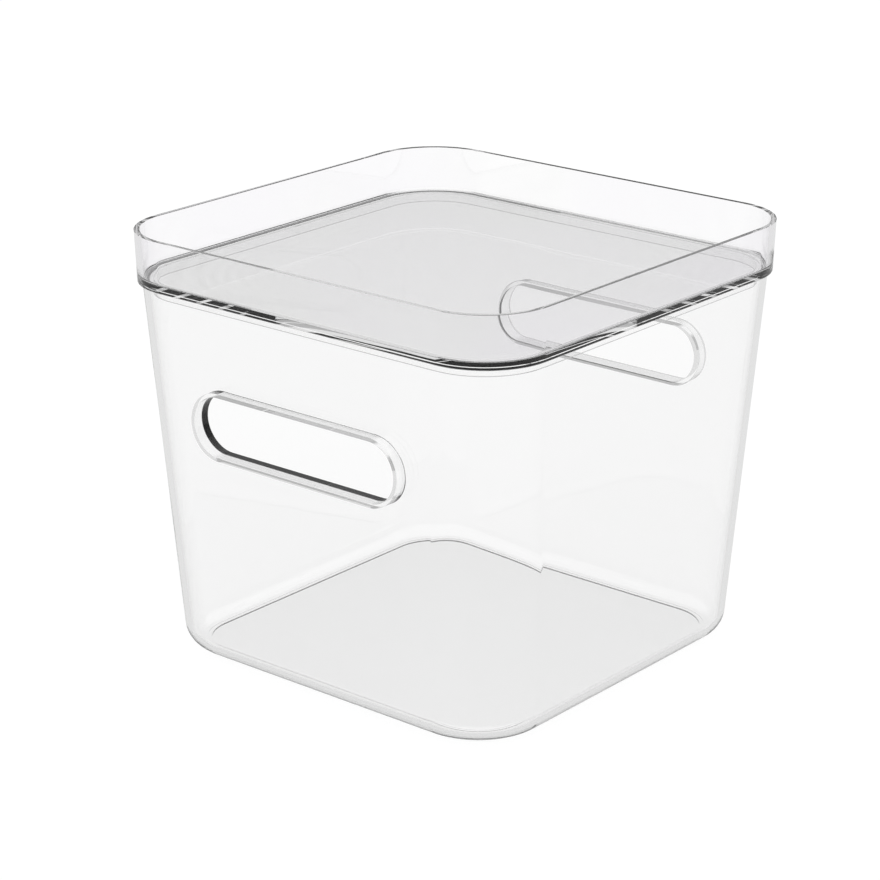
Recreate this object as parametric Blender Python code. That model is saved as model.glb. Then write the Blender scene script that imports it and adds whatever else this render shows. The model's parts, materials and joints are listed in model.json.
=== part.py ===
"""Clear storage box with a lift-off tray lid.

The tub is a drafted shell of even wall, with a rounded lower edge, a thin foot ring and a moulded collar
round the hand slot in each end wall. The lid is a flat panel in a raised rim that is thicker at its corners,
and a short skirt under the panel drops inside the tub's mouth and centres the lid.

Metres, +Z up. The origin is the middle of the foot ring's underside. The hand slots face -Y and +Y.
"""

import math

import bmesh
import bpy

# Tub
TUB_HEIGHT = 0.157
MOUTH_WIDTH = 0.1964
MOUTH_DEPTH = 0.1945
MOUTH_CORNER_RADIUS = 0.0297
BASE_CORNER_RADIUS = 0.031
TUB_DRAFT = math.radians(3.35)
TUB_WALL = 0.0025
TUB_FLOOR = 0.0026
LOWER_EDGE_RADIUS = 0.0095

# Foot ring under the base
FOOT_HEIGHT = 0.0006
FOOT_WIDTH = 0.0019

# Hand slots and their collars
SLOT_DROP = 0.048
SLOT_LENGTH = 0.1032
SLOT_HEIGHT = 0.0248
COLLAR_WALL = 0.0016
COLLAR_REACH = 0.0051
COLLAR_ROOT_RADIUS = 0.0004

# Lid
SEAT_GAP = 0.0003
LID_OVERHANG = 0.00105
LID_CORNER_RADIUS = 0.0285
RIM_HEIGHT = 0.0211
RIM_DRAFT = math.radians(2.0)
RIM_WALL = 0.002
RIM_INNER_CORNER_EXTRA = 0.0006
RIM_EDGE_RADIUS = 0.0003
PANEL_THICKNESS = 0.0025
PANEL_EDGE_RADIUS = 0.0015
SKIRT_DEPTH = 0.0038
SKIRT_WALL = 0.0015
SKIRT_CLEARANCE = 0.0014

# How far a cutter runs past the surface that it opens
CUT_OVERRUN = 0.004

CORNER_STEPS = 12
EDGE_STEPS = 6
SLOT_END_STEPS = 20
ROOT_STEPS = 3
RIM_EDGE_STEPS = 2

CLEAR_PLASTIC_COLOUR = (0.97, 0.975, 0.98, 1.0)
CLEAR_PLASTIC_ROUGHNESS = 0.04
CLEAR_PLASTIC_IOR = 1.5


def clear_scene():
    for old in list(bpy.data.objects):
        bpy.data.objects.remove(old, do_unlink=True)


def new_collection(name):
    made = bpy.data.collections.new(name)
    bpy.context.scene.collection.children.link(made)
    return made


def clear_plastic(name):
    made = bpy.data.materials.new(name)
    made.use_nodes = True
    shader = made.node_tree.nodes["Principled BSDF"]
    shader.inputs["Base Color"].default_value = CLEAR_PLASTIC_COLOUR
    shader.inputs["Roughness"].default_value = CLEAR_PLASTIC_ROUGHNESS
    shader.inputs["Metallic"].default_value = 0.0
    shader.inputs["Transmission Weight"].default_value = 1.0
    shader.inputs["IOR"].default_value = CLEAR_PLASTIC_IOR
    return made


def rounded_rectangle(half_x, half_y, radius, z):
    """Points anticlockwise round a level rounded rectangle."""
    points = []
    corners = ((1, 1), (-1, 1), (-1, -1), (1, -1))
    for quarter, (side_x, side_y) in enumerate(corners):
        for step in range(CORNER_STEPS + 1):
            angle = (quarter + step / CORNER_STEPS) * math.pi / 2
            points.append(
                (
                    side_x * (half_x - radius) + radius * math.cos(angle),
                    side_y * (half_y - radius) + radius * math.sin(angle),
                    z,
                )
            )
    return points


def slot_outline(length, height, middle_z, y_of_z):
    """Points round a slot with full-round ends, in the XZ plane, each at the depth that y_of_z gives."""
    radius = height / 2
    points = []
    for side in (1, -1):
        for step in range(SLOT_END_STEPS + 1):
            angle = side * (step / SLOT_END_STEPS - 1 / 2) * math.pi
            x = side * (length / 2 - radius) + side * radius * math.cos(angle)
            z = middle_z + radius * math.sin(angle)
            points.append((x, y_of_z(z), z))
    return points


def loft(name, sections, collection):
    """A closed solid through sections that have the same number of points."""
    shape = bmesh.new()
    rings = [[shape.verts.new(point) for point in section] for section in sections]
    for lower, upper in zip(rings, rings[1:]):
        for here in range(len(lower)):
            after = (here + 1) % len(lower)
            shape.faces.new((lower[here], lower[after], upper[after], upper[here]))
    shape.faces.new(list(reversed(rings[0])))
    shape.faces.new(rings[-1])
    bmesh.ops.recalc_face_normals(shape, faces=shape.faces)
    mesh = bpy.data.meshes.new(name)
    shape.to_mesh(mesh)
    shape.free()
    made = bpy.data.objects.new(name, mesh)
    collection.objects.link(made)
    return made


def as_cutter(solid):
    solid.hide_render = True
    solid.display_type = "WIRE"
    return solid


def combine(target, other, operation):
    step = target.modifiers.new(f"{operation.lower()}_{other.name}", "BOOLEAN")
    step.operation = operation
    step.object = other


def wall_inset(z):
    """How far the drafted wall has come in at height z, measured from the mouth."""
    return (TUB_HEIGHT - z) * math.tan(TUB_DRAFT)


def corner_radius(z):
    share = z / TUB_HEIGHT
    return BASE_CORNER_RADIUS + (MOUTH_CORNER_RADIUS - BASE_CORNER_RADIUS) * share


def tub_section(z, inset):
    """The tub's outline at height z, brought in from the mouth's size by inset, parallel to the outer wall."""
    radius = corner_radius(z) - (inset - wall_inset(z))
    return rounded_rectangle(MOUTH_WIDTH / 2 - inset, MOUTH_DEPTH / 2 - inset, radius, z)


def rounded_foot_of_wall(radius, wall, floor_z):
    """(height, inset) up the arc that joins a level floor to the drafted wall."""
    middle_z = floor_z + radius
    middle_inset = wall_inset(middle_z) + wall + radius / math.cos(TUB_DRAFT)
    arc = []
    for step in range(EDGE_STEPS + 1):
        angle = math.pi / 2 + (TUB_DRAFT - math.pi / 2) * step / EDGE_STEPS
        z = middle_z - radius * math.sin(angle)
        arc.append((z, middle_inset - radius * math.cos(angle)))
    return arc


def tub_outer(collection):
    """The tub's outside as one solid, with its foot."""
    edge = rounded_foot_of_wall(LOWER_EDGE_RADIUS, 0.0, FOOT_HEIGHT)
    _, foot_inset = edge[0]
    sections = [tub_section(0.0, foot_inset)]
    sections += [tub_section(z, inset) for z, inset in edge]
    sections.append(tub_section(TUB_HEIGHT, 0.0))
    return loft("box_body", sections, collection)


def tub_cavity(collection):
    floor_z = FOOT_HEIGHT + TUB_FLOOR
    edge = rounded_foot_of_wall(LOWER_EDGE_RADIUS - TUB_WALL, TUB_WALL, floor_z)
    sections = [tub_section(z, inset) for z, inset in edge]
    above = TUB_HEIGHT + CUT_OVERRUN
    sections.append(tub_section(above, wall_inset(above) + TUB_WALL))
    return as_cutter(loft("tub_cavity", sections, collection))


def foot_recess(collection):
    """Leaves the foot as a ring that stands below the rest of the base."""
    _, foot_inset = rounded_foot_of_wall(LOWER_EDGE_RADIUS, 0.0, FOOT_HEIGHT)[0]
    inset = foot_inset + FOOT_WIDTH
    sections = [tub_section(z, inset) for z in (-CUT_OVERRUN, FOOT_HEIGHT)]
    return as_cutter(loft("foot_recess", sections, collection))


def slot_middle():
    return TUB_HEIGHT - SLOT_DROP


def slot_wall_y(z):
    return MOUTH_DEPTH / 2 - wall_inset(z)


def collar(name, side, collection):
    """A collar that stands out of one end wall, with a flared root and an upright front face."""
    middle = slot_middle()
    front = slot_wall_y(middle) + COLLAR_REACH
    length = SLOT_LENGTH + 2 * COLLAR_WALL
    height = SLOT_HEIGHT + 2 * COLLAR_WALL
    inner = slot_wall_y(middle - height / 2) - TUB_WALL - CUT_OVERRUN
    sections = []
    for step in range(ROOT_STEPS + 1):
        angle = step / ROOT_STEPS * math.pi / 2
        flare = 2 * COLLAR_ROOT_RADIUS * (1 - math.sin(angle))
        out = COLLAR_ROOT_RADIUS * (1 - math.cos(angle))
        sections.append(
            slot_outline(
                length + flare,
                height + flare,
                middle,
                lambda z, out=out: side * (slot_wall_y(z) + out),
            )
        )
    widest = length + 2 * COLLAR_ROOT_RADIUS
    tallest = height + 2 * COLLAR_ROOT_RADIUS
    sections.insert(0, slot_outline(widest, tallest, middle, lambda z: side * inner))
    sections.append(slot_outline(length, height, middle, lambda z: side * front))
    return as_cutter(loft(name, sections, collection))


def slot_bore(collection):
    """One cutter through both end walls and their collars."""
    middle = slot_middle()
    reach = slot_wall_y(middle) + COLLAR_REACH + CUT_OVERRUN
    sections = [
        slot_outline(SLOT_LENGTH, SLOT_HEIGHT, middle, lambda z, y=y: y)
        for y in (-reach, reach)
    ]
    return as_cutter(loft("slot_bore", sections, collection))


def build_tub(parts, cutters, material):
    tub = tub_outer(parts)
    for name, side in (("collar_near", -1), ("collar_far", 1)):
        combine(tub, collar(name, side, cutters), "UNION")
    combine(tub, tub_cavity(cutters), "DIFFERENCE")
    combine(tub, slot_bore(cutters), "DIFFERENCE")
    combine(tub, foot_recess(cutters), "DIFFERENCE")
    tub.data.materials.append(material)
    return tub


def lid_section(z, out, extra_radius=0.0):
    """The lid's outline at height z, grown from the tub's mouth by out, parallel to the foot of the rim."""
    radius = LID_CORNER_RADIUS + (out - LID_OVERHANG) + extra_radius
    return rounded_rectangle(MOUTH_WIDTH / 2 + out, MOUTH_DEPTH / 2 + out, radius, z)


def rim_out(rise):
    """How far the rim's outer face stands outside the mouth at a rise above the seat."""
    return LID_OVERHANG + rise * math.tan(RIM_DRAFT)


def skirt_section(z, inset):
    """The skirt's outline, which follows the tub's inner wall at its clearance, brought in by inset."""
    inset += wall_inset(TUB_HEIGHT - SKIRT_DEPTH) + TUB_WALL + SKIRT_CLEARANCE
    radius = MOUTH_CORNER_RADIUS - inset
    return rounded_rectangle(MOUTH_WIDTH / 2 - inset, MOUTH_DEPTH / 2 - inset, radius, z)


def lid_outer(collection):
    """The skirt, the rounded step out to the rim, and the rim's drafted outside."""
    seat = TUB_HEIGHT + SEAT_GAP
    sections = [skirt_section(z, 0.0) for z in (seat - SKIRT_DEPTH, seat)]
    for step in range(RIM_EDGE_STEPS + 1):
        angle = step / RIM_EDGE_STEPS * math.pi / 2
        rise = RIM_EDGE_RADIUS * (1 - math.cos(angle))
        turned_in = RIM_EDGE_RADIUS * (1 - math.sin(angle))
        sections.append(lid_section(seat + rise, rim_out(rise) - turned_in))
    sections.append(lid_section(seat + RIM_HEIGHT, rim_out(RIM_HEIGHT)))
    return loft("lid", sections, collection)


def lid_tray(collection):
    """The space above the panel, inside the rim."""
    seat = TUB_HEIGHT + SEAT_GAP
    sections = []
    for step in range(EDGE_STEPS + 1):
        angle = step / EDGE_STEPS * math.pi / 2
        rise = PANEL_THICKNESS + PANEL_EDGE_RADIUS * (1 - math.cos(angle))
        turned_in = PANEL_EDGE_RADIUS * (1 - math.sin(angle))
        out = rim_out(rise) - RIM_WALL - turned_in
        sections.append(lid_section(seat + rise, out, RIM_INNER_CORNER_EXTRA))
    above = RIM_HEIGHT + CUT_OVERRUN
    sections.append(
        lid_section(seat + above, rim_out(above) - RIM_WALL, RIM_INNER_CORNER_EXTRA)
    )
    return as_cutter(loft("lid_tray", sections, collection))


def skirt_hollow(collection):
    """The space inside the skirt, up to the panel's underside."""
    seat = TUB_HEIGHT + SEAT_GAP
    below = seat - SKIRT_DEPTH - CUT_OVERRUN
    sections = [skirt_section(z, SKIRT_WALL) for z in (below, seat)]
    return as_cutter(loft("skirt_hollow", sections, collection))


def build_lid(parts, cutters, material):
    lid = lid_outer(parts)
    combine(lid, lid_tray(cutters), "DIFFERENCE")
    combine(lid, skirt_hollow(cutters), "DIFFERENCE")
    lid.data.materials.append(material)
    return lid


def main():
    clear_scene()
    parts = new_collection("storage_box")
    cutters = new_collection("cutters")
    build_tub(parts, cutters, clear_plastic("box_plastic"))
    build_lid(parts, cutters, clear_plastic("lid_plastic"))


main()
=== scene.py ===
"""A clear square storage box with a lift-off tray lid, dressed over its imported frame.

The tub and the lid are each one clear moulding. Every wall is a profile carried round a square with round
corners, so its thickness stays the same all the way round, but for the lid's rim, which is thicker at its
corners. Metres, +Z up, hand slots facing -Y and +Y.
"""

import json
import math

import bpy
from bpy.props import FloatProperty, FloatVectorProperty, IntProperty, PointerProperty
from bpy.types import Operator, Panel, PropertyGroup
from mathutils import Matrix, Vector

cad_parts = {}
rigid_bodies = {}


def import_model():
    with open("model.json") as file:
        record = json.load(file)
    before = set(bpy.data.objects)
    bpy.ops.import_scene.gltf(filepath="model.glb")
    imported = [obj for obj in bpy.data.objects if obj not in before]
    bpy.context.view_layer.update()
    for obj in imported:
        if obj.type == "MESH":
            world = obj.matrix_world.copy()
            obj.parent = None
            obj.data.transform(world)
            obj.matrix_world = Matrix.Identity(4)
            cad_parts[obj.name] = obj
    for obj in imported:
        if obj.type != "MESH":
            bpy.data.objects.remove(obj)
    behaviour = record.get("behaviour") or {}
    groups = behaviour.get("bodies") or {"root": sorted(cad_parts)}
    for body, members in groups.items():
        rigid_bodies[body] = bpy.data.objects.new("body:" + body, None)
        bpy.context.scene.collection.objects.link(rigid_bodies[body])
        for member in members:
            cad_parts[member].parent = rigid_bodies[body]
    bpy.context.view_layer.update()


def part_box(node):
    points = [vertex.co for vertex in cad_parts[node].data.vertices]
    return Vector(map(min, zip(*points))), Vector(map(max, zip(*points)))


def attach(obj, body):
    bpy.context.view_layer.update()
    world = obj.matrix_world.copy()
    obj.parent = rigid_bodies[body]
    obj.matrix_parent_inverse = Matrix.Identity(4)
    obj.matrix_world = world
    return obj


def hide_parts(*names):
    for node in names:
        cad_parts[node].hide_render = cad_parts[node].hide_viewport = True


bl_info = {
    "name": "Clear storage box",
    "version": (1, 0, 0),
    "blender": (4, 5, 0),
    "location": "View3D > Sidebar > Storage Box",
    "description": "Makes a clear square storage box with a lift-off tray lid",
    "category": "Add Mesh",
}

for left_over in list(bpy.data.objects):
    bpy.data.objects.remove(left_over)
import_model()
tub_low, tub_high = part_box("box_body")

QUARTER_TURN = math.pi / 2

GEOMETRY = "NodeSocketGeometry"
NUMBER = "NodeSocketFloat"
WHOLE = "NodeSocketInt"
MATERIAL = "NodeSocketMaterial"

# The places of the colours on a Mix node, which has sockets of the same names for its other kinds.
FIRST_COLOUR = 6
SECOND_COLOUR = 7
MIXED_COLOUR = 2

# Points of a mesh that are no further apart than this, in metres, are one point.
SAME_PLACE = 0.000002
# Faces that turn by more than this meet in a crisp edge.
CRISP_EDGE = math.radians(25)
# How much the largest of the faces that meet at a point sets its shading, where 50 is even.
LARGE_FACE_WEIGHT = 100

# Noise in the plastic, as scale and detail.
# The first two place the painted reflection streaks.
REFLECTION_STREAK_WANDER = (10.0, 3.0)
STREAK_PATCHES = (12.0, 1.0)
HANDLED_PATCHES = (45.0, 6.0)
SLOW_WAVES = (22.0, 1.0)

# Where the painted reflection streaks and the scuffs start to show and where they show in full, as noise
# or as metres outward.
STREAKS_SHOW = (0.42, 0.6)
STREAKS_REACH = (0.05, 0.075)
SCUFFS_SHOW = (0.6, 0.8)

# How close the painted reflection streaks lie, and how far the noise moves them.
STREAK_SCALE = 60.0
STREAK_DRIFT = 40.0

# How strongly the painted reflection streaks show on each piece.
TUB_STREAKS = 0.2
LID_STREAKS = 1.0

# How far up the foot ring its painted shade and scuffs go, so that they stop short of the base.
FOOT_SHADE_AND_SCUFF_TOP = 0.95

# Light goes a long way inside the panel and the walls. Fewer mirrorings keep their edges dark.
LIGHT_BOUNCES = 64
MIRRORED_BOUNCES = 16

# The mirrored horizon turns white between these heights, where 0 is level and 1 is overhead.
HORIZON_TURNS_WHITE = (0.5, 0.6)


class TubSizes(PropertyGroup):
    """The tub, its foot and its hand slots."""

    height: FloatProperty(
        name="Height",
        description="From the surface that the tub stands on to its mouth",
        default=tub_high.z,
        unit="LENGTH",
        precision=4,
    )
    mouth_width: FloatProperty(
        name="Mouth Width",
        description="Outside width at the mouth, along X",
        default=tub_high.x - tub_low.x,
        unit="LENGTH",
        precision=4,
    )
    mouth_depth: FloatProperty(
        name="Mouth Depth",
        description="Outside depth at the mouth, along Y",
        default=0.1945,
        unit="LENGTH",
        precision=4,
    )
    mouth_corner: FloatProperty(
        name="Mouth Corner",
        description="Outside corner radius at the mouth",
        default=0.0297,
        unit="LENGTH",
        precision=4,
    )
    base_corner: FloatProperty(
        name="Base Corner",
        description="Outside corner radius that the walls run down to at the base",
        default=0.031,
        unit="LENGTH",
        precision=4,
    )
    draft: FloatProperty(
        name="Draft",
        description="How far the walls lean in towards the base",
        default=math.radians(3.35),
        subtype="ANGLE",
    )
    wall: FloatProperty(
        name="Wall",
        description="Wall thickness",
        default=0.0025,
        unit="LENGTH",
        precision=4,
    )
    floor: FloatProperty(
        name="Floor",
        description="Floor thickness",
        default=0.0026,
        unit="LENGTH",
        precision=4,
    )
    lower_edge: FloatProperty(
        name="Lower Edge",
        description="Outside radius where the walls turn into the base",
        default=0.0095,
        unit="LENGTH",
        precision=4,
    )
    foot_height: FloatProperty(
        name="Foot Height",
        description="How far the foot ring stands below the base",
        default=0.0006,
        unit="LENGTH",
        precision=4,
    )
    foot_width: FloatProperty(
        name="Foot Width",
        description="Width of the foot ring",
        default=0.0019,
        unit="LENGTH",
        precision=4,
    )
    slot_drop: FloatProperty(
        name="Slot Drop",
        description="From the mouth down to the middle of a hand slot",
        default=0.048,
        unit="LENGTH",
        precision=4,
    )
    slot_length: FloatProperty(
        name="Slot Length",
        description="Length of a hand slot's opening",
        default=0.1032,
        unit="LENGTH",
        precision=4,
    )
    slot_height: FloatProperty(
        name="Slot Height",
        description="Height of a hand slot's opening",
        default=0.0248,
        unit="LENGTH",
        precision=4,
    )
    collar_wall: FloatProperty(
        name="Collar Wall",
        description="Wall of the collar round a hand slot",
        default=0.0016,
        unit="LENGTH",
        precision=4,
    )
    collar_reach: FloatProperty(
        name="Collar Reach",
        description="How far the collar stands out of the wall at the slot's middle",
        default=0.0051,
        unit="LENGTH",
        precision=4,
    )
    collar_root: FloatProperty(
        name="Collar Root",
        description="Radius of the flare where the collar leaves the wall",
        default=0.0004,
        unit="LENGTH",
        precision=4,
    )
    corner_steps: IntProperty(
        name="Corner Steps",
        description="Faces round each corner of the walls",
        default=32,
        min=3,
    )
    edge_steps: IntProperty(
        name="Edge Steps",
        description="Faces round each rounded edge",
        default=12,
        min=2,
    )
    slot_steps: IntProperty(
        name="Slot Steps",
        description="Faces round each end of a hand slot",
        default=48,
        min=3,
    )


class LidSizes(PropertyGroup):
    """The lid's panel, raised rim and skirt."""

    seat_gap: FloatProperty(
        name="Seat Gap",
        description="Room between the tub's mouth and the lid that rests on it",
        default=0.0003,
        unit="LENGTH",
        precision=4,
    )
    overhang: FloatProperty(
        name="Overhang",
        description="How far the foot of the rim stands outside the mouth",
        default=0.00105,
        unit="LENGTH",
        precision=5,
    )
    lid_corner: FloatProperty(
        name="Lid Corner",
        description="Outside corner radius at the foot of the rim",
        default=0.0285,
        unit="LENGTH",
        precision=4,
    )
    rim_height: FloatProperty(
        name="Rim Height",
        description="From the seat to the top of the rim",
        default=0.0211,
        unit="LENGTH",
        precision=4,
    )
    rim_draft: FloatProperty(
        name="Rim Draft",
        description="How far the rim leans out towards its top",
        default=math.radians(2.0),
        subtype="ANGLE",
    )
    rim_wall: FloatProperty(
        name="Rim Wall",
        description="Thickness of the rim along its sides",
        default=0.002,
        unit="LENGTH",
        precision=4,
    )
    rim_corner: FloatProperty(
        name="Rim Corner",
        description="How much rounder the rim's corners are inside than a rim of even thickness",
        default=0.0006,
        unit="LENGTH",
        precision=4,
    )
    rim_edge: FloatProperty(
        name="Rim Edge",
        description="Radius of the rim's lower outside edge",
        default=0.0003,
        unit="LENGTH",
        precision=4,
    )
    panel: FloatProperty(
        name="Panel",
        description="Thickness of the panel",
        default=0.0025,
        unit="LENGTH",
        precision=4,
    )
    panel_edge: FloatProperty(
        name="Panel Edge",
        description="Radius where the panel turns up into the rim",
        default=0.0015,
        unit="LENGTH",
        precision=4,
    )
    skirt_depth: FloatProperty(
        name="Skirt Depth",
        description="How far the skirt reaches down inside the mouth",
        default=0.0038,
        unit="LENGTH",
        precision=4,
    )
    skirt_wall: FloatProperty(
        name="Skirt Wall",
        description="Thickness of the skirt",
        default=0.0015,
        unit="LENGTH",
        precision=4,
    )
    skirt_clearance: FloatProperty(
        name="Skirt Clearance",
        description="Room between the skirt and the tub's wall",
        default=0.0014,
        unit="LENGTH",
        precision=4,
    )


class Finish(PropertyGroup):
    """The clear plastic."""

    # One plastic painted in zones: painted light in the flat parts, painted shade in the walls and the
    # rim.
    flat_colour: FloatVectorProperty(
        name="Flat Painted Light",
        description="Painted light in the tub's floor and the lid's panel",
        default=(1.0, 1.0, 1.0, 1.0),
        size=4,
        subtype="COLOR",
        min=0.0,
        max=1.0,
    )
    wall_colour: FloatVectorProperty(
        name="Wall Painted Shade",
        description="Painted shade in the tub's walls",
        default=(0.974, 0.974, 0.974, 1.0),
        size=4,
        subtype="COLOR",
        min=0.0,
        max=1.0,
    )
    rim_colour: FloatVectorProperty(
        name="Rim Painted Shade",
        description="Painted shade in the lid's raised rim",
        default=(0.97, 0.962, 0.979, 1.0),
        size=4,
        subtype="COLOR",
        min=0.0,
        max=1.0,
    )
    # Painted shade: dark grey on the foot ring's upright sides draws dark lines at its edges.
    foot_edge_colour: FloatVectorProperty(
        name="Foot Edge Painted Shade",
        description="Painted shade on the upright sides of the foot ring",
        default=(0.2, 0.2, 0.2, 1.0),
        size=4,
        subtype="COLOR",
        min=0.0,
        max=1.0,
    )
    # Painted reflection: light and dark streaks stand in for what the panel mirrors.
    streak_light: FloatVectorProperty(
        name="Light Reflection Streaks",
        description="Lightest colour in the painted reflection streaks",
        default=(0.995, 0.995, 0.995, 1.0),
        size=4,
        subtype="COLOR",
        min=0.0,
        max=1.0,
    )
    streak_dark: FloatVectorProperty(
        name="Dark Reflection Streaks",
        description="Darkest colour in the painted reflection streaks",
        default=(0.964, 0.964, 0.964, 1.0),
        size=4,
        subtype="COLOR",
        min=0.0,
        max=1.0,
    )
    ripple: FloatProperty(
        name="Ripple",
        description="Height of the slow waves in the moulded faces",
        default=0.00005,
        unit="LENGTH",
        min=0.0,
        precision=5,
    )
    scuff: FloatProperty(
        name="Scuff",
        description="Roughness where the plastic has been handled most",
        default=0.04,
        min=0.0,
        max=1.0,
    )
    foot_scuff: FloatProperty(
        name="Foot Scuff",
        description="Roughness of the foot ring that the box slides on",
        default=0.04,
        min=0.0,
        max=1.0,
    )
    bend: FloatProperty(
        name="Index of Refraction",
        description="How strongly the plastic bends light",
        default=1.5,
        min=1.0,
    )


class StageSizes(PropertyGroup):
    """The floor, the light and the camera."""

    floor_size: FloatProperty(
        name="Floor Size",
        description="Side of the square floor",
        default=8.0,
        unit="LENGTH",
    )
    floor_drop: FloatProperty(
        name="Floor Drop",
        description="How far the floor lies below the foot",
        default=0.0002,
        unit="LENGTH",
        precision=4,
    )
    floor_colour: FloatVectorProperty(
        name="Floor Colour",
        description="Colour of the floor under the studio light",
        default=(0.07, 0.07, 0.07, 1.0),
        size=4,
        subtype="COLOR",
        min=0.0,
        max=1.0,
    )
    floor_glow: FloatProperty(
        name="Floor Glow",
        description="Brightness added to the floor where it is seen straight",
        default=0.965,
        min=0.0,
    )
    floor_mirrored: FloatProperty(
        name="Mirrored Floor Glow",
        description="Brightness added to the floor where the plastic mirrors it",
        default=0.72,
        min=0.0,
    )
    horizon_grey: FloatProperty(
        name="Horizon Grey",
        description="Brightness near the horizon in what the plastic mirrors",
        default=0.46,
        min=0.0,
        max=1.0,
    )
    lens: FloatProperty(
        name="Lens",
        description="Focal length in millimetres",
        default=114.48,
    )
    azimuth: FloatProperty(
        name="Azimuth",
        description="Where the camera stands round the box, from the near hand slot",
        default=math.radians(39.898),
        subtype="ANGLE",
    )
    elevation: FloatProperty(
        name="Elevation",
        description="How far the camera looks down",
        default=math.radians(19.545),
        subtype="ANGLE",
    )
    distance: FloatProperty(
        name="Distance",
        description="From the camera to the point that it looks at",
        default=1.149231,
        unit="LENGTH",
    )
    aim: FloatVectorProperty(
        name="Aim",
        description="The point that the camera looks at",
        default=(-0.005851, -0.003781, 0.08564),
        size=3,
        subtype="TRANSLATION",
        precision=5,
    )


class Wire:
    """One output of a node. Arithmetic on it adds the maths nodes that do it."""

    def __init__(self, tree, socket):
        self.tree = tree
        self.socket = socket

    def maths(self, operation, *others):
        return maths(self.tree, operation, self, *others)

    def __add__(self, other):
        return self.maths("ADD", other)

    def __sub__(self, other):
        return self.maths("SUBTRACT", other)

    def __rsub__(self, other):
        return maths(self.tree, "SUBTRACT", other, self)

    def __mul__(self, other):
        return self.maths("MULTIPLY", other)

    def __truediv__(self, other):
        return self.maths("DIVIDE", other)


def plug(tree, value, socket):
    """Links a wire to a socket, or sets the socket to a plain value."""
    if isinstance(value, Wire):
        tree.links.new(value.socket, socket)
    else:
        socket.default_value = value


def add_node(tree, kind, inputs=(), **settings):
    """Adds a node and fills its inputs, from a list in order or a dict by name or place."""
    node = tree.nodes.new(kind)
    for setting, value in settings.items():
        setattr(node, setting, value)
    places = inputs.items() if isinstance(inputs, dict) else enumerate(inputs)
    for place, value in places:
        plug(tree, value, node.inputs[place])
    return node


def wire(tree, kind, inputs=(), out=0, **settings):
    """Adds a node and gives one of its outputs, by name or place."""
    return Wire(tree, add_node(tree, kind, inputs, **settings).outputs[out])


def maths(tree, operation, *terms):
    """One maths node, whose terms are wires or numbers."""
    return wire(tree, "ShaderNodeMath", terms, operation=operation)


def start_tree(name, sizes):
    """An empty geometry tree with an input for each size, and the inputs' wires by name."""
    tree = bpy.data.node_groups.new(name, "GeometryNodeTree")
    for label, kind in sizes.items():
        tree.interface.new_socket(label, in_out="INPUT", socket_type=kind)
    tree.interface.new_socket("Geometry", in_out="OUTPUT", socket_type=GEOMETRY)
    source = tree.nodes.new("NodeGroupInput")
    return tree, {label: Wire(tree, source.outputs[label]) for label in sizes}


def end_tree(tree, shape):
    """Gives a shape as what the tree makes."""
    add_node(tree, "NodeGroupOutput", {"Geometry": shape})


def end_piece_tree(tree, shape, material):
    """Ends the tree of a whole piece, whose shape gets its material."""
    whole = wire(tree, "GeometryNodeRealizeInstances", {"Geometry": shape})
    finished = wire(
        tree, "GeometryNodeSetMaterial", {"Geometry": whole, "Material": material}
    )
    end_tree(tree, finished)


def switch(tree, kind, index, values):
    """Gives each index its own value."""
    node = add_node(tree, "GeometryNodeIndexSwitch", data_type=kind)
    while len(node.index_switch_items) < len(values):
        node.index_switch_items.new()
    plug(tree, index, node.inputs["Index"])
    for place, value in enumerate(values):
        plug(tree, value, node.inputs[place + 1])
    return Wire(tree, node.outputs[0])


def profile(tree, steps, points):
    """A line through (across, up, rounding) points, each turned through an arc of its rounding.

    A fourth number in a point makes the corners rounder there once the line is carried round."""
    points = [(*point, 0.0)[:4] for point in points]
    line = wire(tree, "GeometryNodeMeshLine", {"Count": len(points)})
    index = wire(tree, "GeometryNodeInputIndex")
    places = [
        wire(tree, "ShaderNodeCombineXYZ", (across, rounder, up))
        for across, up, _, rounder in points
    ]
    place = switch(tree, "VECTOR", index, places)
    rounding = switch(tree, "FLOAT", index, [turn for _, _, turn, _ in points])
    drawn = wire(tree, "GeometryNodeSetPosition", {"Geometry": line, "Position": place})
    curve = wire(tree, "GeometryNodeMeshToCurve", {"Mesh": drawn})
    return wire(
        tree,
        "GeometryNodeFilletCurve",
        {"Curve": curve, "Count": steps, "Radius": rounding},
        mode="POLY",
    )


def carried_grid(tree, curve, columns):
    """A sheet of one column for each step round and one row for each point of a profile.

    With it come each point's column, its place on the profile, and a number that is 0 in the
    first and last row, whose points all meet on the axis, and 1 in the others."""
    points = wire(
        tree,
        "GeometryNodeAttributeDomainSize",
        {"Geometry": curve},
        out="Point Count",
        component="CURVE",
    )
    sheet = wire(
        tree, "GeometryNodeMeshGrid", {"Vertices X": columns, "Vertices Y": points}
    )
    index = wire(tree, "GeometryNodeInputIndex")
    column = (index / points).maths("FLOOR")
    row = index.maths("MODULO", points)
    spot = wire(
        tree,
        "GeometryNodeSampleIndex",
        {
            "Geometry": curve,
            "Value": wire(tree, "GeometryNodeInputPosition"),
            "Index": row,
        },
        data_type="FLOAT_VECTOR",
    )
    split = add_node(tree, "ShaderNodeSeparateXYZ", (spot,))
    across, rounder, up = [Wire(tree, socket) for socket in split.outputs]
    between_ends = row.maths("GREATER_THAN", 0.5) * row.maths("LESS_THAN", points - 1.5)
    return sheet, column, across, rounder, up, between_ends


def closed_shape(tree, sheet, x, y, z):
    """Sets the sheet's points and closes its seam and its ends."""
    place = wire(tree, "ShaderNodeCombineXYZ", (x, y, z))
    placed = wire(tree, "GeometryNodeSetPosition", {"Geometry": sheet, "Position": place})
    return wire(
        tree, "GeometryNodeMergeByDistance", {"Geometry": placed, "Distance": SAME_PLACE}
    )


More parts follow.
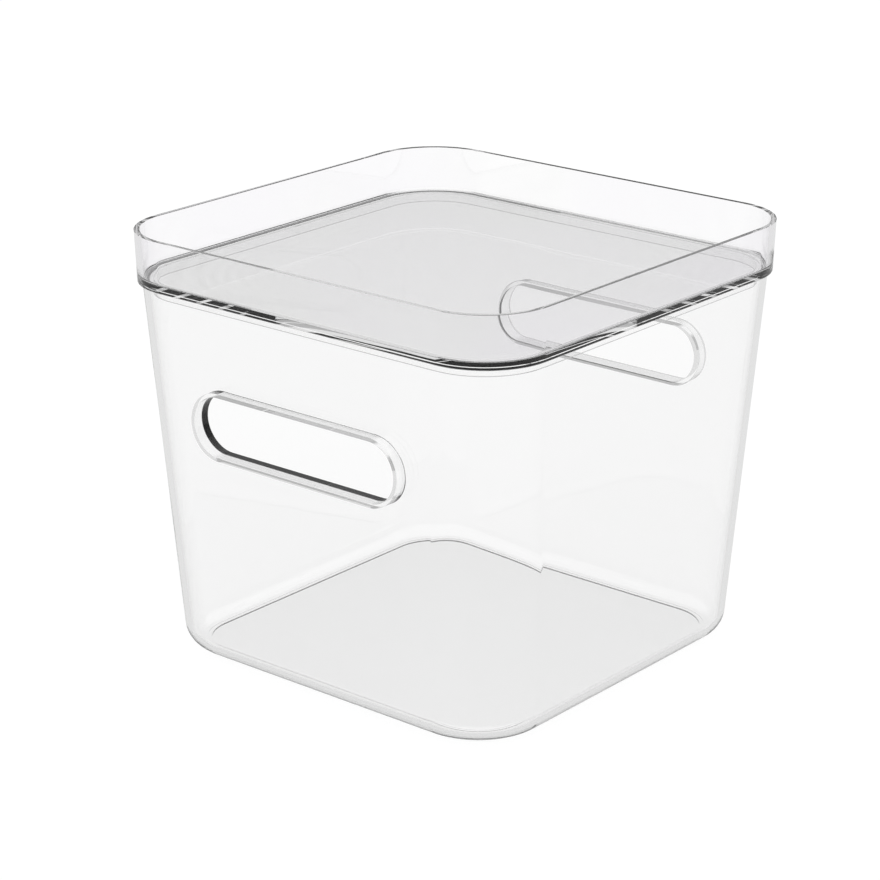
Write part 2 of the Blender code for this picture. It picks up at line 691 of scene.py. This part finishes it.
def corner_carrier():
    """Carries a profile of inset and height round a drafted square with round corners."""
    tree, size = start_tree(
        "Carry Round Corners",
        {
            "Profile": GEOMETRY,
            "Width": NUMBER,
            "Depth": NUMBER,
            "Level": NUMBER,
            "Corner Radius": NUMBER,
            "Corner Growth": NUMBER,
            "Draft": NUMBER,
            "Corner Steps": WHOLE,
        },
    )
    steps = size["Corner Steps"]
    per_corner = steps + 1
    # The last column lies on the first, and the two are merged.
    columns = per_corner * 4 + 1
    sheet, column, inset, rounder, height, between_ends = carried_grid(
        tree, size["Profile"], columns
    )
    quarter = (column / per_corner).maths("FLOOR")
    angle = (quarter + (column - quarter * per_corner) / steps) * QUARTER_TURN
    facing = (quarter + 0.5) * QUARTER_TURN
    drop = size["Level"] - height
    lean = drop * size["Draft"].maths("TANGENT")
    corner = size["Corner Radius"] + drop * size["Corner Growth"] + rounder
    radius = corner - inset + lean
    places = []
    for side, turn in (("Width", "COSINE"), ("Depth", "SINE")):
        middle = facing.maths(turn).maths("SIGN") * (size[side] / 2 - lean - corner)
        places.append((middle + radius * angle.maths(turn)) * between_ends)
    end_tree(tree, closed_shape(tree, sheet, *places, height))
    return tree


def slot_carrier():
    """Carries a profile of growth and reach round an upright slot, out towards -Y."""
    tree, size = start_tree(
        "Carry Round Slot",
        {
            "Profile": GEOMETRY,
            "Length": NUMBER,
            "Height": NUMBER,
            "Middle": NUMBER,
            "Face": NUMBER,
            "Slope": NUMBER,
            "Root": NUMBER,
            "Reach": NUMBER,
            "Slot Steps": WHOLE,
        },
    )
    steps = size["Slot Steps"]
    per_end = steps + 1
    columns = per_end * 2 + 1
    sheet, column, growth, _, reach, between_ends = carried_grid(
        tree, size["Profile"], columns
    )
    end = (column / per_end).maths("FLOOR")
    angle = (end + (column - end * per_end) / steps - 0.5) * math.pi
    side = (end * math.pi).maths("COSINE")
    radius = size["Height"] / 2 + growth
    straight = (size["Length"] - size["Height"]) / 2
    x = (side * straight + radius * angle.maths("COSINE")) * between_ends
    rise = radius * angle.maths("SINE") * between_ends
    # The collar leaves the leaning wall along its slope and is upright where it ends.
    upright = (reach - size["Root"]) / (size["Reach"] - size["Root"])
    upright = upright.maths("MAXIMUM", 0.0).maths("MINIMUM", 1.0)
    out = size["Face"] + reach + rise * size["Slope"] * (1.0 - upright)
    end_tree(tree, closed_shape(tree, sheet, x, 0.0 - out, size["Middle"] + rise))
    return tree


def tub_tree(carry_corners, carry_slot):
    """The tub: one profile for its shell, a collar on each end wall, and the bore through both."""
    tree, size = start_tree(
        "Tub",
        {
            "Height": NUMBER,
            "Mouth Width": NUMBER,
            "Mouth Depth": NUMBER,
            "Mouth Corner": NUMBER,
            "Base Corner": NUMBER,
            "Draft": NUMBER,
            "Wall": NUMBER,
            "Floor": NUMBER,
            "Lower Edge": NUMBER,
            "Foot Height": NUMBER,
            "Foot Width": NUMBER,
            "Slot Drop": NUMBER,
            "Slot Length": NUMBER,
            "Slot Height": NUMBER,
            "Collar Wall": NUMBER,
            "Collar Reach": NUMBER,
            "Collar Root": NUMBER,
            "Corner Steps": WHOLE,
            "Edge Steps": WHOLE,
            "Slot Steps": WHOLE,
            "Material": MATERIAL,
        },
    )
    height, wall, foot = size["Height"], size["Wall"], size["Foot Height"]
    slope = size["Draft"].maths("TANGENT")
    edge = size["Lower Edge"]
    inner_edge = edge - wall
    middle = size["Mouth Width"] / 2
    floor = foot + size["Floor"]
    foot_out = (height - foot - edge) * slope + edge / size["Draft"].maths("COSINE")
    foot_in = foot_out + size["Foot Width"]
    # From the middle of the underside round the foot ring, up the outside of the wall, over
    # the mouth and down the inside to the middle of the floor.
    shell = profile(
        tree,
        size["Edge Steps"],
        (
            (middle, foot, 0.0),
            (foot_in, foot, 0.0),
            (foot_in, 0.0, 0.0),
            (foot_out, 0.0, 0.0),
            (foot_out, foot, 0.0),
            ((height - foot) * slope, foot, edge),
            (0.0, height, 0.0),
            (wall, height, 0.0),
            ((height - floor) * slope + wall, floor, inner_edge),
            (middle, floor, 0.0),
        ),
    )
    shell = wire(
        tree,
        "GeometryNodeGroup",
        {
            "Profile": shell,
            "Width": size["Mouth Width"],
            "Depth": size["Mouth Depth"],
            "Level": height,
            "Corner Radius": size["Mouth Corner"],
            "Corner Growth": (size["Base Corner"] - size["Mouth Corner"]) / height,
            "Draft": size["Draft"],
            "Corner Steps": size["Corner Steps"],
        },
        node_tree=carry_corners,
    )
    slot_middle = height - size["Slot Drop"]
    face = size["Mouth Depth"] / 2 - size["Slot Drop"] * slope
    collar_height = size["Slot Height"] + size["Collar Wall"] * 2
    # The collar starts half way into the wall, and its ends close on the slot's middle line.
    inside = wall * -0.5
    to_middle = collar_height * -0.5
    reach, root = size["Collar Reach"], size["Collar Root"]
    outline = profile(
        tree,
        size["Edge Steps"],
        (
            (to_middle, inside, 0.0),
            (root, inside, 0.0),
            (root, 0.0, 0.0),
            (0.0, 0.0, root),
            (0.0, reach, 0.0),
            (to_middle, reach, 0.0),
        ),
    )
    near = wire(
        tree,
        "GeometryNodeGroup",
        {
            "Profile": outline,
            "Length": size["Slot Length"] + size["Collar Wall"] * 2,
            "Height": collar_height,
            "Middle": slot_middle,
            "Face": face,
            "Slope": slope,
            "Root": root,
            "Reach": reach,
            "Slot Steps": size["Slot Steps"],
        },
        node_tree=carry_slot,
    )
    far = wire(
        tree,
        "GeometryNodeTransform",
        {"Geometry": near, "Rotation": (0.0, 0.0, math.pi)},
    )
    # The bore runs through the tub and well out of both collars. It is level, so its reach,
    # which only spreads a slope, can have any value.
    past = face + reach * 2
    outline = profile(
        tree,
        size["Edge Steps"],
        (
            (to_middle, 0.0 - past, 0.0),
            (0.0, 0.0 - past, 0.0),
            (0.0, past, 0.0),
            (to_middle, past, 0.0),
        ),
    )
    bore = wire(
        tree,
        "GeometryNodeGroup",
        {
            "Profile": outline,
            "Length": size["Slot Length"],
            "Height": size["Slot Height"],
            "Middle": slot_middle,
            "Reach": 1.0,
            "Slot Steps": size["Slot Steps"],
        },
        node_tree=carry_slot,
    )
    union = add_node(tree, "GeometryNodeMeshBoolean", operation="UNION", solver="EXACT")
    for solid in (shell, near, far):
        plug(tree, solid, union.inputs["Mesh 2"])
    cut = wire(
        tree,
        "GeometryNodeMeshBoolean",
        {"Mesh 1": Wire(tree, union.outputs["Mesh"]), "Mesh 2": bore},
        operation="DIFFERENCE",
        solver="EXACT",
    )
    end_piece_tree(tree, cut, size["Material"])
    return tree


def lid_tree(carry_corners):
    """The lid: one profile for its panel, rim and skirt."""
    tree, size = start_tree(
        "Lid",
        {
            "Height": NUMBER,
            "Mouth Width": NUMBER,
            "Mouth Depth": NUMBER,
            "Mouth Corner": NUMBER,
            "Draft": NUMBER,
            "Wall": NUMBER,
            "Seat Gap": NUMBER,
            "Overhang": NUMBER,
            "Lid Corner": NUMBER,
            "Rim Height": NUMBER,
            "Rim Draft": NUMBER,
            "Rim Wall": NUMBER,
            "Rim Corner": NUMBER,
            "Rim Edge": NUMBER,
            "Panel": NUMBER,
            "Panel Edge": NUMBER,
            "Skirt Depth": NUMBER,
            "Skirt Wall": NUMBER,
            "Skirt Clearance": NUMBER,
            "Corner Steps": WHOLE,
            "Edge Steps": WHOLE,
            "Material": MATERIAL,
        },
    )
    seat = size["Height"] + size["Seat Gap"]
    middle = size["Mouth Width"] / 2
    depth = size["Skirt Depth"]
    skirt_out = (
        depth * size["Draft"].maths("TANGENT") + size["Wall"] + size["Skirt Clearance"]
    )
    skirt_in = skirt_out + size["Skirt Wall"]
    slope = size["Rim Draft"].maths("TANGENT")
    rim_foot = 0.0 - size["Overhang"]
    rim_top = rim_foot - size["Rim Height"] * slope
    top = seat + size["Rim Height"]
    panel = seat + size["Panel"]
    rounder = size["Lid Corner"] - size["Mouth Corner"] - size["Overhang"]
    rounder_inside = rounder + size["Rim Corner"]
    # From the middle of the underside round the skirt, up the outside of the rim, over its
    # top and down to the middle of the panel.
    outline = profile(
        tree,
        size["Edge Steps"],
        (
            (middle, seat, 0.0),
            (skirt_in, seat, 0.0),
            (skirt_in, seat - depth, 0.0),
            (skirt_out, seat - depth, 0.0),
            (skirt_out, seat, 0.0),
            (rim_foot, seat, size["Rim Edge"], rounder),
            (rim_top, top, 0.0, rounder),
            (rim_top + size["Rim Wall"], top, 0.0, rounder_inside),
            (
                rim_foot - size["Panel"] * slope + size["Rim Wall"],
                panel,
                size["Panel Edge"],
                rounder_inside,
            ),
            (middle, panel, 0.0, rounder_inside),
        ),
    )
    carried = wire(
        tree,
        "GeometryNodeGroup",
        {
            "Profile": outline,
            "Width": size["Mouth Width"],
            "Depth": size["Mouth Depth"],
            "Corner Radius": size["Mouth Corner"],
            "Corner Steps": size["Corner Steps"],
        },
        node_tree=carry_corners,
    )
    end_piece_tree(tree, carried, size["Material"])
    return tree


def own_properties(group):
    """The properties that a group has of its own."""
    return [
        prop
        for prop in group.bl_rna.properties
        if prop.identifier not in ("rna_type", "name")
    ]


def sizes_by_name(*groups):
    """Each property's value under the name that the panel shows."""
    return {
        prop.name: getattr(group, prop.identifier)
        for group in groups
        for prop in own_properties(group)
    }


def make_piece(name, tree, values):
    """Runs a tree once and keeps what it makes as a plain mesh, smooth up to its crisp edges."""
    made = bpy.data.objects.new(name, bpy.data.meshes.new(name))
    bpy.context.scene.collection.objects.link(made)
    step = made.modifiers.new("shape", "NODES")
    step.node_group = tree
    for item in tree.interface.items_tree:
        if item.in_out == "INPUT":
            step[item.identifier] = values[item.name]
    shown = made.evaluated_get(bpy.context.evaluated_depsgraph_get())
    mesh = bpy.data.meshes.new_from_object(shown)
    made.modifiers.remove(step)
    mesh.name = name
    # Set Material leaves an empty slot in front of its own.
    if mesh.materials[0] is None:
        mesh.materials.pop(index=0)
    made.data = mesh
    mesh.shade_smooth()
    mesh.set_sharp_from_angle(angle=CRISP_EDGE)
    normals = made.modifiers.new("flat_faces_first", "WEIGHTED_NORMAL")
    normals.keep_sharp = True
    normals.weight = LARGE_FACE_WEIGHT
    return made


def noise(tree, place, pattern):
    """Smooth noise of a pattern's scale and detail."""
    scale, detail = pattern
    return wire(
        tree,
        "ShaderNodeTexNoise",
        {"Vector": place, "Scale": scale, "Detail": detail},
        out="Fac",
    )


def fade(tree, value, low, high, least=0.0):
    """The least number up to low, 1 from high, and a straight slope between them."""
    return wire(
        tree,
        "ShaderNodeMapRange",
        {"Value": value, "From Min": low, "From Max": high, "To Min": least, "To Max": 1.0},
    )


def blend(tree, amount, plain, other):
    """The plain colour at an amount of 0, and the other one at 1."""
    return wire(
        tree,
        "ShaderNodeMix",
        {"Factor": amount, FIRST_COLOUR: plain, SECOND_COLOUR: other},
        out=MIXED_COLOUR,
        data_type="RGBA",
    )


def clear_plastic(name, finish, streaks_shown, foot_top, flat_below, upright_painted_shade):
    """Clear plastic with faint painted reflection streaks, slow ripples and a few scuffs.

    Up to flat_below it has the painted light of the flat parts, and above that the upright painted shade.
    Up to foot_top it is scuffed, with painted shade on its upright sides."""
    material = bpy.data.materials.new(name)
    material.use_nodes = True
    tree = material.node_tree
    shader = tree.nodes["Principled BSDF"]
    shader.inputs["Transmission Weight"].default_value = 1.0
    shader.inputs["IOR"].default_value = finish.bend
    place = wire(tree, "ShaderNodeTexCoord", out="Object")
    parts = add_node(tree, "ShaderNodeSeparateXYZ", (place,))
    x, y, height = (Wire(tree, part) for part in parts.outputs)

    # Lines of the same outward distance are squares with round corners, as the outline is.
    outward = ((x * x) * (x * x) + (y * y) * (y * y)).maths("POWER", 0.25)
    # Painted reflection streaks, in rings that follow the outline.
    reflection_rings = wire(
        tree,
        "ShaderNodeTexWave",
        {
            "Vector": wire(tree, "ShaderNodeCombineXYZ", {"X": outward}),
            "Scale": STREAK_SCALE,
            "Phase Offset": noise(tree, place, REFLECTION_STREAK_WANDER) * STREAK_DRIFT,
        },
        out="Fac",
    )
    streaks = blend(tree, reflection_rings, finish.streak_dark, finish.streak_light)
    patches = fade(tree, noise(tree, place, STREAK_PATCHES), *STREAKS_SHOW)
    painted_reflection_mask = patches * fade(tree, outward, *STREAKS_REACH) * streaks_shown
    # Painted light up to flat_below, and painted shade above it.
    above_flat = height.maths("GREATER_THAN", flat_below)
    painted_zone_tone = blend(tree, above_flat, finish.flat_colour, upright_painted_shade)
    streaky = blend(tree, painted_reflection_mask, painted_zone_tone, streaks)

    on_foot = height.maths("LESS_THAN", foot_top)
    normal = wire(tree, "ShaderNodeNewGeometry", out="Normal")
    up = wire(tree, "ShaderNodeSeparateXYZ", (normal,), out="Z")
    # Painted shade on the foot ring's upright sides.
    foot_side_shade_mask = on_foot * (1.0 - up.maths("ABSOLUTE"))
    colour = blend(tree, foot_side_shade_mask, streaky, finish.foot_edge_colour)
    plug(tree, colour, shader.inputs["Base Color"])

    handled = fade(tree, noise(tree, place, HANDLED_PATCHES), *SCUFFS_SHOW)
    roughness = handled * finish.scuff + on_foot * finish.foot_scuff
    plug(tree, roughness, shader.inputs["Roughness"])

    waves = noise(tree, place, SLOW_WAVES)
    ripples = wire(
        tree, "ShaderNodeBump", {"Distance": finish.ripple, "Height": waves}, out="Normal"
    )
    plug(tree, ripples, shader.inputs["Normal"])
    return material


def unmirrored(tree):
    """1 for a ray that reaches the background straight or through the plastic, 0 for a mirrored one."""
    path = tree.nodes.new("ShaderNodeLightPath")
    mirrored = Wire(tree, path.outputs["Glossy Depth"])
    scattered = Wire(tree, path.outputs["Diffuse Depth"])
    return 1.0 - (mirrored + scattered).maths("MINIMUM", 1.0)


class StorageBoxTub(Operator):
    """Makes the tub with its collared hand slots."""

    bl_idname = "storage_box.tub"
    bl_label = "Make Tub"

    def execute(self, context):
        scene = context.scene
        values = sizes_by_name(scene.tub_sizes)
        finish = scene.box_finish
        values["Material"] = clear_plastic(
            "tub_plastic",
            finish,
            streaks_shown=TUB_STREAKS,
            foot_top=values["Foot Height"] * FOOT_SHADE_AND_SCUFF_TOP,
            flat_below=values["Foot Height"] + values["Floor"],
            # The walls get painted shade.
            upright_painted_shade=finish.wall_colour,
        )
        tree = tub_tree(corner_carrier(), slot_carrier())
        tub = make_piece("tub_shell", tree, values)
        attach(tub, "tub")
        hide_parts("box_body")
        return {"FINISHED"}


class StorageBoxLid(Operator):
    """Makes the lid with its raised rim and its skirt."""

    bl_idname = "storage_box.lid"
    bl_label = "Make Lid"

    def execute(self, context):
        scene = context.scene
        values = sizes_by_name(scene.tub_sizes, scene.lid_sizes)
        finish = scene.box_finish
        values["Material"] = clear_plastic(
            "lid_plastic",
            finish,
            streaks_shown=LID_STREAKS,
            foot_top=0.0,
            flat_below=values["Height"] + values["Seat Gap"] + values["Panel"],
            # The rim gets painted shade.
            upright_painted_shade=finish.rim_colour,
        )
        lid = make_piece("lid_shell", lid_tree(corner_carrier()), values)
        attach(lid, "lid")
        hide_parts("lid")
        return {"FINISHED"}


class StorageBoxStage(Operator):
    """Makes the floor, the studio light and the camera."""

    bl_idname = "storage_box.stage"
    bl_label = "Make Stage"

    def execute(self, context):
        scene = context.scene
        sizes = scene.stage_sizes
        scene.view_settings.view_transform = "Standard"
        scene.cycles.max_bounces = LIGHT_BOUNCES
        scene.cycles.glossy_bounces = MIRRORED_BOUNCES
        scene.cycles.transmission_bounces = LIGHT_BOUNCES
        self.make_floor(scene, sizes)
        self.make_light(scene, sizes)
        self.make_camera(scene, sizes)
        return {"FINISHED"}

    def make_floor(self, scene, sizes):
        """A white floor that keeps the box's shadow and is see-through from below."""
        half = sizes.floor_size / 2
        low = -sizes.floor_drop
        mesh = bpy.data.meshes.new("floor")
        mesh.from_pydata(
            [(-half, -half, low), (half, -half, low), (half, half, low), (-half, half, low)],
            [],
            [(0, 1, 2, 3)],
        )
        floor = bpy.data.objects.new("floor", mesh)
        scene.collection.objects.link(floor)
        material = bpy.data.materials.new("studio_floor")
        material.use_nodes = True
        tree = material.node_tree
        shader = tree.nodes["Principled BSDF"]
        shader.inputs["Base Color"].default_value = sizes.floor_colour
        shader.inputs["Roughness"].default_value = 1.0
        shader.inputs["Specular IOR Level"].default_value = 0.0
        more_when_straight = unmirrored(tree) * (sizes.floor_glow - sizes.floor_mirrored)
        strength = more_when_straight + sizes.floor_mirrored
        glow = wire(tree, "ShaderNodeEmission", {"Strength": strength})
        top = wire(tree, "ShaderNodeAddShader", (Wire(tree, shader.outputs["BSDF"]), glow))
        clear = wire(tree, "ShaderNodeBsdfTransparent")
        below = wire(tree, "ShaderNodeNewGeometry", out="Backfacing")
        whole = wire(tree, "ShaderNodeMixShader", (below, top, clear))
        plug(tree, whole, tree.nodes["Material Output"].inputs["Surface"])
        mesh.materials.append(material)

    def make_light(self, scene, sizes):
        """White all round, and greyer near the horizon in what the plastic mirrors."""
        world = bpy.data.worlds.new("studio")
        world.use_nodes = True
        scene.world = world
        tree = world.node_tree
        shader = tree.nodes["Background"]
        way = wire(tree, "ShaderNodeTexCoord", out="Generated")
        up = wire(tree, "ShaderNodeSeparateXYZ", (way,), out="Z")
        mirrored = fade(tree, up, *HORIZON_TURNS_WHITE, least=sizes.horizon_grey)
        brightness = mirrored + unmirrored(tree) * (1.0 - mirrored)
        plug(tree, brightness, shader.inputs["Color"])

    def make_camera(self, scene, sizes):
        """The photo's camera, aimed at the box from the side of its near hand slot."""
        data = bpy.data.cameras.new("camera")
        camera = bpy.data.objects.new("camera", data)
        scene.collection.objects.link(camera)
        data.lens = sizes.lens
        level = math.cos(sizes.elevation)
        back = Vector(
            (
                math.sin(sizes.azimuth) * level,
                -math.cos(sizes.azimuth) * level,
                math.sin(sizes.elevation),
            )
        )
        place = Vector(sizes.aim) + back * sizes.distance
        turn = back.to_track_quat("Z", "Y").to_matrix().to_4x4()
        camera.matrix_world = Matrix.Translation(place) @ turn
        scene.camera = camera


class StorageBoxPanel(Panel):
    """Lists the box's sizes, its finish and the steps that make it."""

    bl_idname = "VIEW3D_PT_storage_box"
    bl_label = "Storage Box"
    bl_space_type = "VIEW_3D"
    bl_region_type = "UI"
    bl_category = "Storage Box"

    def draw(self, context):
        layout = self.layout
        for owner, maker in (
            (context.scene.tub_sizes, StorageBoxTub),
            (context.scene.lid_sizes, StorageBoxLid),
            (context.scene.box_finish, None),
            (context.scene.stage_sizes, StorageBoxStage),
        ):
            box = layout.box()
            for prop in own_properties(owner):
                box.prop(owner, prop.identifier)
            if maker:
                box.operator(maker.bl_idname)


PROPERTY_GROUPS = {
    "tub_sizes": TubSizes,
    "lid_sizes": LidSizes,
    "box_finish": Finish,
    "stage_sizes": StageSizes,
}
CLASSES = (
    TubSizes,
    LidSizes,
    Finish,
    StageSizes,
    StorageBoxTub,
    StorageBoxLid,
    StorageBoxStage,
    StorageBoxPanel,
)


def register():
    for made in CLASSES:
        bpy.utils.register_class(made)
    for name, group in PROPERTY_GROUPS.items():
        setattr(bpy.types.Scene, name, PointerProperty(type=group))


def unregister():
    for name in PROPERTY_GROUPS:
        delattr(bpy.types.Scene, name)
    for made in reversed(CLASSES):
        bpy.utils.unregister_class(made)


def main():
    """Makes the box and its stage."""
    register()
    bpy.ops.storage_box.tub()
    bpy.ops.storage_box.lid()
    bpy.ops.storage_box.stage()


if __name__ == "__main__":
    main()
